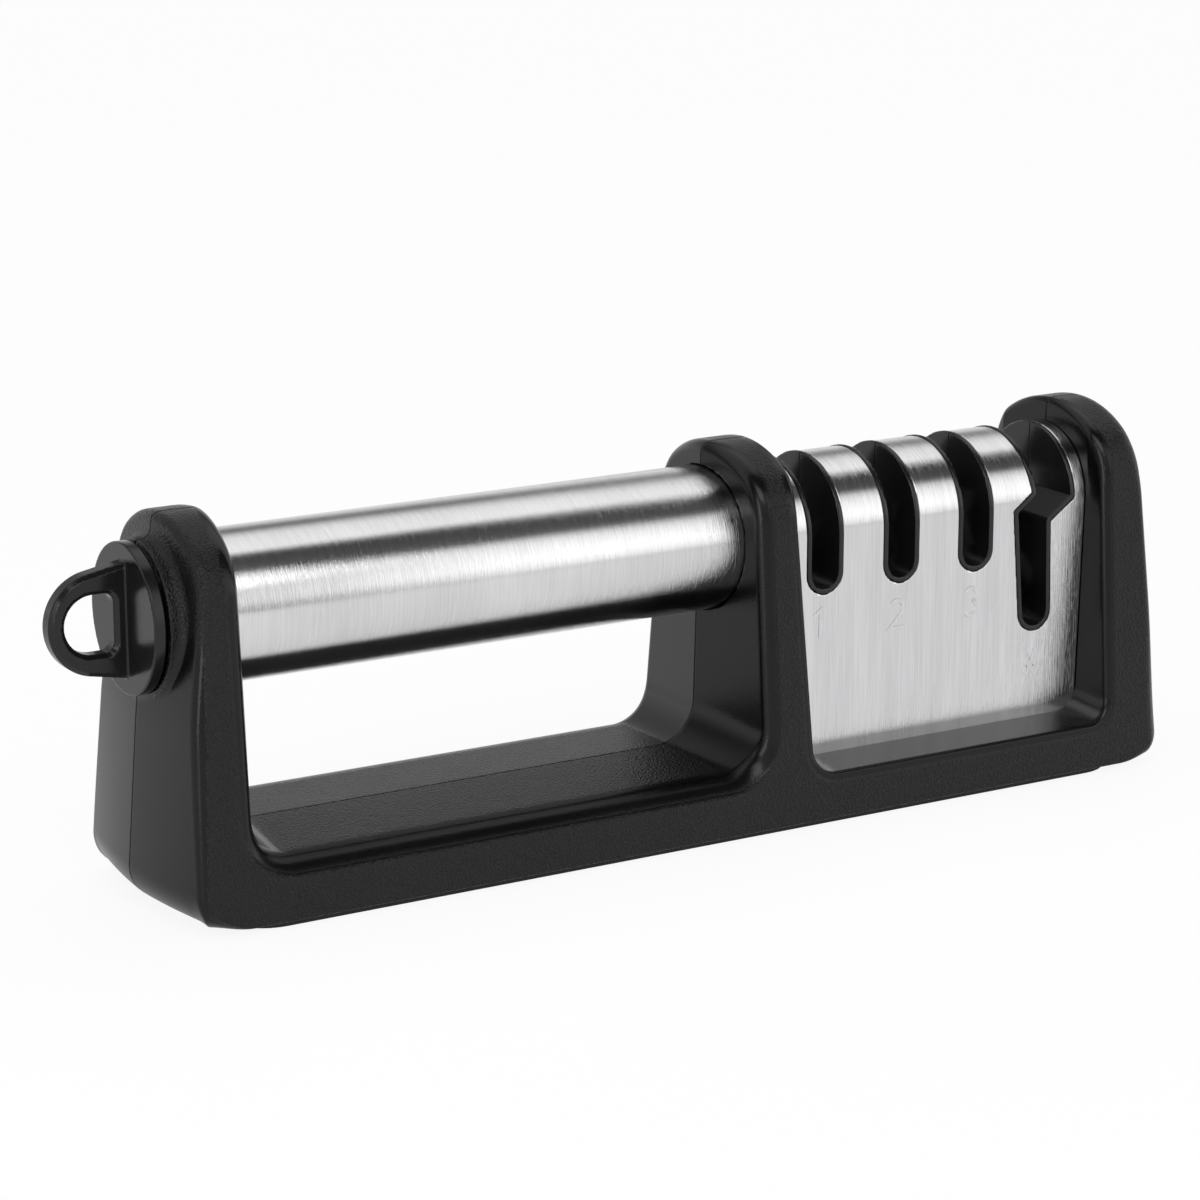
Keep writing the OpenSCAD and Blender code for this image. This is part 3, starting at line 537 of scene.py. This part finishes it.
def polar(cx, cz, r, start, end, steps):
    """Points along an arc in the XZ plane, angles in degrees."""
    turn = np.radians(np.linspace(start, end, steps + 1))
    return list(zip(cx + r * np.cos(turn), cz + r * np.sin(turn)))


scissors_outline = np.array(
    [(scissors_left, slot_open_z), (92.8, 65.1), (87.5, 61.5)]
    + polar(scissors_foot_x, scissors_low_z, scissors_half, 180, 360, 16)
    + [(97.9, 57.9), (scissors_right, scissors_knee), (scissors_right, slot_open_z)])


def outline_skin(points, x, z):
    """Signed distance to a closed outline in the XZ plane, below 0 inside it."""
    nearest = np.full(np.shape(x), 1e9)
    inside = np.zeros(np.shape(x), bool)
    for (ax, az), (bx, bz) in zip(points, np.roll(points, -1, 0)):
        ux, uz = bx - ax, bz - az
        t = np.clip(((x - ax) * ux + (z - az) * uz) / (ux * ux + uz * uz), 0, 1)
        nearest = np.minimum(nearest, np.hypot(x - ax - t * ux, z - az - t * uz))
        if az != bz:
            inside ^= ((az > z) != (bz > z)) & (x < ax + ux * (z - az) / uz)
    return np.where(inside, -nearest, nearest)


def slots_skin(x, z):
    """Signed distance to the outer line of the nearest slot."""
    out = outline_skin(scissors_outline, x, z)
    for centre in slot_x:
        u = np.abs(x - centre)
        knife = np.where(z > slot_centre_z, u, np.hypot(u, z - slot_centre_z)) - slot_half
        out = np.minimum(out, knife)
    return out


def unrolled(s):
    """How far the sheet has turned, and come down below its arch, at s from its top line."""
    turn = np.clip(np.abs(s) / cover_r, 0, math.pi / 2)
    down = np.maximum(np.abs(s) - arch_l, 0)
    return turn, down


def sheet_skin(x, s, t):
    """The cover laid flat: s runs across it from the top line, t through it from its outside."""
    turn, down = unrolled(s)
    z = tube_z + cover_r * np.cos(turn) - down
    lean = (z - tube_z) * math.tan(wall_lean)
    ends = np.maximum(pocket_left + cover_room - lean - x, x - pocket_right + cover_room - lean)
    plate = np.maximum(ends, np.abs(s) - arch_l - front_l)
    sheet = round_cut(plate, np.abs(t - cover_t / 2) - cover_t / 2, cover_edge_r)
    return round_cut(sheet, punch_gap - slots_skin(x, z), cover_edge_r)


slots_from, slots_to, slot_beside, slot_step = 26, 86.5, 0.9, 0.3


def slot_stops(half, coarse, *after):
    """Grid lines that are closer together beside each knife slot's two sides."""
    spans, at = [], slots_from
    for edge in sorted(centre + k * half for centre in slot_x for k in (-1, 1)):
        if edge - slot_beside > at:
            spans.append((at, edge - slot_beside, coarse))
            at = edge - slot_beside
        spans.append((at, edge + slot_beside, slot_step))
        at = edge + slot_beside
    return stops(*spans, (at, slots_to, coarse), *after)


cover_x = slot_stops(slot_half, 1.0, (slots_to, 106, 0.4), (106, 109.5, 0.3))
half_s = stops((0, arch_l, 0.6), (arch_l, arch_l + 10, 0.45), (arch_l + 10, arch_l + 20, 0.8),
               (arch_l + 20, arch_l + 30, 0.5), (arch_l + 30, arch_l + front_l + 1, 1.2))
cover_s = np.concatenate([-half_s[:0:-1], half_s])
cover_depth = stops((-0.1, 0.7, 0.1))
points, faces, facing = carve(sheet_skin, (cover_x, cover_s, cover_depth), passes=3)

# The flat sheet is bent over the block: each point and its facing turn with the arch.
turn, down = unrolled(points[:, 1])
way = np.sign(points[:, 1])
radius = cover_r - points[:, 2]
bent = np.stack([points[:, 0], way * radius * np.sin(turn),
                 tube_z + radius * np.cos(turn) - down], 1)
along = np.stack([0 * turn, np.cos(turn), -way * np.sin(turn)], 1)
outward = np.stack([0 * turn, way * np.sin(turn), np.cos(turn)], 1)
facing = (facing[:, :1] * np.array([[1, 0, 0]]) + facing[:, 1:2] * along
          - facing[:, 2:] * outward)
cover = piece("steel_cover_sheet", bent, faces[:, ::-1], facing,
              stands_for=["steel_cover"])

cover_dark, cover_pale = (0.68, 0.68, 0.69), (0.84, 0.84, 0.85)
brushed_sheet = Finish("brushed cover steel", Metallic=1.0, IOR=2.5)
lines = brushed_sheet.noise(brushed_sheet.place((1, 0.012, 0.012)), scale=4200, detail=3,
                            roughness=0.75)
broad = brushed_sheet.noise(brushed_sheet.place((1, 0.1, 0.1)), scale=260)
brushed_sheet.colour((lines * 0.65 + broad * 0.35).eased(0.3, 0.72), cover_dark, cover_pale)
brushed_sheet.vary("Roughness", 0.045 + lines * 0.07 + broad * 0.04)
brushed_sheet.relief(lines, depth=0.00005)
brushed_sheet.on(cover)

# The stage numbers and a scissors sign are pressed out of the cover below the slots, from behind.
# They stand proud as fine ridges of the same steel, a little duller than the sheet.
mark_half, sign_half, mark_lift, mark_root, mark_slope = 0.5, 0.17, 0.07, -0.03, 0.14
mark_corner_limit = 0.5
digit_one = [(-1.3, 1.9), (0.4, 3.2), (0.4, -3.2)]
digit_two = polar(0, 1.35, 1.85, 165, -20, 12) + [(-1.9, -3.1), (2.1, -3.1)]
digit_three = polar(0, 1.6, 1.6, 150, -60, 10) + polar(0, -1.45, 1.75, 60, -150, 12)
mark_places = [(34.4, 42.2, digit_one), (55.4, 41.7, digit_two), (75.9, 41.9, digit_three)]
blades = [[(-1.7, 3.3), (0.95, -1.6)], [(1.7, 3.3), (-0.95, -1.6)]]
sign_x, sign_z, grip_reach, grip_drop = 93.1, 25.9, 1.25, 2.4
grip = np.array(polar(0, 0, 1, 0, 345, 23)) * (0.7, 1.05)


def ridge(line, half, closed):
    """A raised line of four-sided section on the cover's front, from points (x, z)."""
    ahead, back = np.roll(line, -1, 0) - line, line - np.roll(line, 1, 0)
    if not closed:
        ahead[-1], back[0] = back[-1], ahead[0]
    ahead, back = (d / np.linalg.norm(d, axis=1, keepdims=True) for d in (ahead, back))
    way = ahead + back
    way /= np.linalg.norm(way, axis=1, keepdims=True)
    spread = 1 / np.maximum((way * ahead).sum(1, keepdims=True), mark_corner_limit)
    side = np.stack([-way[:, 1], way[:, 0]], 1) * spread
    rows = []
    for reach, lift in ((half, mark_root), (half - mark_slope * half, mark_lift),
                        (mark_slope * half - half, mark_lift), (-half, mark_root)):
        at = line + side * reach
        rows.append(np.stack([at[:, 0], np.full(len(at), -cover_r - lift), at[:, 1]], 1))
    points = np.stack(rows, 1).reshape(-1, 3)
    n = len(line)
    faces = []
    for i in range(n if closed else n - 1):
        here, there = 4 * i, 4 * (i + 1) % (4 * n)
        for a, b in ((0, 1), (1, 2), (2, 3), (3, 0)):
            faces.append([here + a, here + b, there + b, there + a])
    if not closed:
        faces += [[3, 2, 1, 0], [4 * n - 4, 4 * n - 3, 4 * n - 2, 4 * n - 1]]
    return points, np.array(faces)


ridges = [(x, z, line, mark_half, False) for x, z, line in mark_places]
ridges += [(sign_x, sign_z, line, sign_half, False) for line in blades]
ridges += [(sign_x + k * grip_reach, sign_z - grip_drop, grip, sign_half, True) for k in (-1, 1)]
points, faces, count = [], [], 0
for x, z, line, half, closed in ridges:
    ridge_points, ridge_faces = ridge(np.array(line) + (x, z), half, closed)
    points.append(ridge_points)
    faces.append(ridge_faces + count)
    count += len(ridge_points)
marks = piece("stage_marks", np.concatenate(points), np.concatenate(faces), None)
for face in marks.data.polygons:
    face.use_smooth = False

mark_dark, mark_pale = (0.7, 0.7, 0.71), (0.84, 0.84, 0.85)
scratched = Finish("pressed steel marks", Metallic=1.0, IOR=2.5)
fine = scratched.noise(scratched.place((1, 0.05, 0.05)), scale=4200, detail=3, roughness=0.75)
scratched.colour(fine.eased(0.3, 0.72), mark_dark, mark_pale)
scratched.vary("Roughness", 0.2 + fine * 0.15)
scratched.on(marks)

# The sharpening block is two black halves under the cover. Each slot has a smooth rim that comes
# up flush through the steel, and a channel that holds the abrasives.
block_r, block_room, block_foot = 15.3, 0.3, 16.4
rim_edge_r, channel_edge_r, block_gap, block_seam_r = 0.22, 0.3, 0.05, 0.12


def block_skin(x, v, z):
    """Skin of one half of the block, v being the distance from the seam."""
    arch = np.hypot(v, np.maximum(z - tube_z, 0))
    lean = (z - tube_z) * math.tan(wall_lean)
    ends = np.maximum(pocket_left + block_room - lean - x, x - pocket_right + block_room - lean)
    slots = slots_skin(x, z)
    body = np.maximum(np.maximum(arch - block_r, ends), block_foot - z)
    rims = round_cut(arch - rim_r, slots, rim_edge_r)
    skin = round_cut(np.minimum(body, rims), -(slots + rim_t), channel_edge_r)
    return round_cut(skin, block_gap - v, block_seam_r)


block_x = slot_stops(slot_half - rim_t / 2, 1.6, (slots_to, 106, 0.4), (106, 108.5, 0.8))
block_v = stops((-0.25, 0.5, 0.12), (0.5, 14.6, 1.2), (14.6, 16.6, 0.3))
block_z = stops((15.5, 31.5, 2.5), (31.5, 39, 0.45), (39, 48, 0.9), (48, 54, 0.4),
                (54, 61, 0.8), (61, 78.2, 0.45))
block_halves = []
for way, node in ((-1, "cartridge_front"), (1, "cartridge_back")):
    block_y = block_v if way > 0 else -block_v[::-1]
    points, faces, facing = carve(lambda x, y, z: block_skin(x, way * y, z),
                                  (block_x, block_y, block_z))
    block_halves.append(piece(node + "_moulding", points, faces, facing,
                              stands_for=[node]))

block_dark, block_pale = (0.006, 0.006, 0.0063), (0.011, 0.011, 0.0115)
smooth_abs = Finish("smooth black ABS", IOR=1.5)
spot = smooth_abs.place()
smooth_abs.colour(smooth_abs.noise(spot, scale=90, detail=3).eased(0.3, 0.7),
                  block_dark, block_pale)
smooth_abs.vary("Roughness", 0.14 + smooth_abs.noise(spot, scale=300) * 0.1)
smooth_abs.relief(smooth_abs.noise(spot, scale=1500), depth=0.00001)
smooth_abs.on(*block_halves)

# The knob at the left end is one satin black moulding: a disc on a stem that turns in the frame,
# with a flat D-shaped ring to hang the tool by.
knob_x, knob_face, knob_r, knob_edge_r = -121.95, -124.51, 15.8, 0.35
knob_stem_r, stem_end, knob_overlap = 6.0, -113.46, 1
ring_r, ring_tip, ring_root, ring_t, ring_w = 10.8, -141.31, 12.1, 4.6, 3.5
ring_hole_r, ring_flat, ring_chamfer, ring_fillet_r = 6.2, -127.14, 0.9, 0.5
ring_x = ring_tip + ring_r
hole_x = ring_tip + ring_w + ring_hole_r
arm_lean = (math.atan(ring_root / (knob_face - ring_x))
            - math.asin(ring_r / math.hypot(knob_face - ring_x, ring_root)))


def chamfer_cut(a, b, c):
    """What two solids share, with a flat chamfer c wide."""
    return np.maximum(np.maximum(a, b), (a + b + c) * math.sqrt(0.5))


def knob_skin(x, y, z):
    """Skin of the knob: the disc and the ring joined by a fillet, and the stem behind."""
    h = np.abs(z - tube_z)
    disc = round_cut(bar(y, z, knob_r), np.abs(x - (knob_x + knob_face) / 2)
                     - (knob_x - knob_face) / 2, knob_edge_r)
    stem = np.maximum(bar(y, z, knob_stem_r),
                      np.maximum(knob_face + knob_overlap - x, x - stem_end))
    touch_x = ring_x - ring_r * math.sin(arm_lean)
    arm = ((h - ring_r * math.cos(arm_lean)) * math.cos(arm_lean)
           - (x - touch_x) * math.sin(arm_lean))
    outline = np.where(x < touch_x, np.hypot(x - ring_x, h) - ring_r, arm)
    hole = np.where(x < hole_x, np.hypot(x - hole_x, h) - ring_hole_r,
                    round_cut(h - ring_hole_r, x - ring_flat, ring_hole_r / 3))
    ring = chamfer_cut(np.maximum(outline, -hole), np.abs(y) - ring_t / 2, ring_chamfer)
    ring = np.maximum(ring, x - knob_x + knob_overlap)
    return np.minimum(round_join(disc, ring, ring_fillet_r), stem)


knob_lines = (stops((-141.8, -124.8, 0.36), (-124.8, -121.2, 0.25), (-121.2, -113, 1.2)),
              stops((-16.3, -14.5, 0.3), (-14.5, -3, 0.7), (-3, 3, 0.3), (3, 14.5, 0.7),
                    (14.5, 16.3, 0.3)),
              stops((45.2, 77.8, 0.36)))
points, faces, facing = carve(knob_skin, knob_lines)
knob = piece("hang_knob_moulding", points, faces, facing, body="hanger",
             stands_for=["hang_knob"])

knob_dark, knob_pale = (0.008, 0.008, 0.0083), (0.014, 0.014, 0.0145)
satin_black = Finish("satin black knob", IOR=1.42)
spot = satin_black.place()
satin_black.colour(satin_black.noise(spot, scale=80, detail=3).eased(0.3, 0.7),
                   knob_dark, knob_pale)
satin_black.vary("Roughness", 0.13 + satin_black.noise(spot, scale=500) * 0.1)
satin_black.relief(satin_black.noise(spot, scale=2200), depth=0.000012)
satin_black.on(knob)

# The abrasives are crossed pairs in the three knife slots: ground carbide plates, steel rods with
# diamond grit on them, and fired ceramic rods. A ceramic rod lies across the scissors slot.
carbide = Finish("ground carbide", Metallic=0.9)
ground = carbide.noise(carbide.place((1, 0.1, 1)), scale=3000)
carbide.colour(ground, (0.1, 0.1, 0.105), (0.24, 0.24, 0.25))
carbide.vary("Roughness", 0.25 + carbide.noise(carbide.place(), scale=900) * 0.2)
carbide.on(nodes["carbide_front"], nodes["carbide_back"])

diamond = Finish("diamond grit", Metallic=0.8)
grit = diamond.noise(diamond.place(), scale=6000, roughness=0.7)
diamond.colour(grit, (0.09, 0.09, 0.09), (0.42, 0.42, 0.43))
diamond.vary("Roughness", 0.35 + grit * 0.3)
diamond.relief(grit, depth=0.00006)
diamond.on(nodes["diamond_rod_front"], nodes["diamond_rod_back"])

ceramic = Finish("fired ceramic")
speckle = ceramic.noise(ceramic.place(), scale=2500, detail=3)
ceramic.colour(speckle, (0.62, 0.6, 0.54), (0.78, 0.77, 0.72))
ceramic.vary("Roughness", 0.45 + speckle * 0.2)
ceramic.on(nodes["ceramic_rod_front"], nodes["ceramic_rod_back"], nodes["scissors_rod"])

# All screws and the knob's washer are zinc plated steel. The frame's four screws go in from the
# back, and the plate's four from below; the rest hold the block, the carbide plates and the knob.
zinc = Finish("zinc plate", Metallic=1.0)
haze = zinc.noise(zinc.place(), scale=700, detail=3)
zinc.colour(haze, (0.42, 0.43, 0.45), (0.66, 0.67, 0.69))
zinc.vary("Roughness", 0.25 + haze * 0.25)
zinc.on(*[nodes[name] for name in ("frame_screws", "cartridge_screws", "carbide_screws",
                                   "plate_screws", "knob_washer", "knob_screw")])

# The tube's plugs and the bottom plate are plain moulded plastic, hidden when the tool is closed.
# The plugs sit inside the tube's two ends, and the plate closes the base above the sole.
plain = Finish("plain moulded plastic")
cloud = plain.noise(plain.place(), scale=200, detail=3)
plain.colour(cloud, (0.02, 0.02, 0.02), (0.035, 0.035, 0.035))
plain.vary("Roughness", 0.5 + cloud * 0.15)
plain.on(nodes["tube_plug_left"], nodes["tube_plug_right"], nodes["bottom_plate"])

# The sole is a cut sheet of matt black rubber. It fills the recess under the base, where it covers
# the plate's screws and grips the table.
rubber = Finish("matt black rubber")
dust = rubber.noise(rubber.place(), scale=900, detail=3)
rubber.colour(dust, (0.009, 0.009, 0.009), (0.018, 0.018, 0.018))
rubber.vary("Roughness", 0.62 + dust * 0.15)
rubber.relief(dust, depth=0.00004)
rubber.on(nodes["rubber_sole"])

# The table is a wide pale sheet, a hair below the sole, and no part of the tool. It shows nearly
# white to the camera and in reflections, and keeps a soft shadow. Its size is in metres.
table_size, table_drop = 30, 0.0001
table_glow, glow_to_camera, glow_in_gloss = 1.06, 0.85, 0.38
bpy.ops.mesh.primitive_plane_add(size=table_size)
table = bpy.context.object
table.name = "table"
table.location.z = -table_drop
paper = Finish("pale table", Roughness=0.6, Base_Color=(0.86, 0.86, 0.865, 1))
seen = paper.node("ShaderNodeLightPath", out=0)
glossy = paper.node("ShaderNodeLightPath", out=3)
glow = paper.node("ShaderNodeEmission", {}, {"Color": (1, 1, 1, 1), "Strength": table_glow})
mixed = paper.node("ShaderNodeMixShader", {},
                   {0: seen * glow_to_camera + glossy * glow_in_gloss,
                    1: Wire(paper, paper.shader.outputs[0]), 2: glow})
paper.feed(paper.tree.nodes["Material Output"].inputs["Surface"], mixed)
paper.on(table)

# A soft studio: a bright wall in front, a dark gap in the ceiling, a long light overhead, then a
# dark band and a pale wall behind. The camera itself sees white, and two weak lamps give the
# highlights.
room_light = [(-60, 0.6), (-14, 0.9), (0, 1.0), (8, 1.25), (16, 1.4), (24, 1.34), (32, 1.24),
              (40, 1.08), (47, 0.86), (51, 0.5), (55, 0.1), (84, 0.05), (88, 0.35), (91, 1.05),
              (120, 0.95), (129, 0.72), (138, 0.3), (144, 0.14), (151, 0.3), (160, 0.6),
              (180, 0.95)]
black, white = (0, 0, 0), (1, 1, 1)
screen_from, screen_to, screen_top, screen_dark = (0.0, 0.1), (0.28, 0.36), (0.1, 0.3), 0.75
side_from, side_front, side_top, side_dark = (0.2, 0.42), (0, 0.3), (0.5, 0.7), 0.55
world = bpy.data.worlds.new("studio")
bpy.context.scene.world = world
world.use_nodes = True


class Studio(Finish):
    """The same node writing, for the world's own tree."""

    def __init__(self, owner):
        self.tree = owner.node_tree
        self.shader = self.tree.nodes["Background"]

    def bearing(self, a, b):
        """The angle whose tangent is a over b."""
        return self.node("ShaderNodeMath", {"operation": "ARCTAN2"}, {0: a, 1: b})


studio = Studio(world)
split = studio.node("ShaderNodeSeparateXYZ", {}, {0: studio.node("ShaderNodeTexCoord", out=0)})
dir_x, dir_y, dir_z = (Wire(studio, output) for output in split.socket.node.outputs)
ahead = 0 - dir_y

# The room's light by the angle from level in front, in degrees, over the top to level behind.
lift = studio.bearing(dir_z, ahead) * (1 / (2 * math.pi)) + 0.25
walls = studio.node("ShaderNodeValToRGB", {"ramp": [
    ((degrees + 90) / 360, (level, level, level)) for degrees, level in room_light]}, {0: lift})

# A dark screen stands low in front on the right, and the front wall is dimmer left of it.
sideways = studio.bearing(dir_x, ahead)
screen = (sideways.eased(*screen_from) * (1 - sideways.eased(*screen_to))
          * (1 - dir_z.eased(*screen_top)))
side = ((1 - sideways.eased(*side_from)) * ahead.eased(*side_front)
        * (1 - dir_z.eased(*side_top)))
walls = studio.blend((side * side_dark).over(screen * screen_dark), walls, black)
straight = studio.node("ShaderNodeLightPath", out=0)
studio.vary("Color", studio.blend(straight, walls, white))
studio.vary("Strength", 1.0)
lamp_target = (0, 0, 0.04)


def lamp(name, place, size, power):
    """A flat soft lamp that shines on the tool; places and sizes are in metres."""
    light = bpy.data.lights.new(name, "AREA")
    light.shape, light.size, light.size_y = "RECTANGLE", *size
    light.energy = power
    aim(bpy.data.objects.new(name, light), place, lamp_target)


lamp("strip", place=(-0.85, -0.52, 0.25), size=(0.22, 0.6), power=1.3)
lamp("key", place=(-0.35, -0.75, 0.9), size=(0.7, 0.5), power=2.4)
bpy.context.scene.view_settings.view_transform = "Standard"
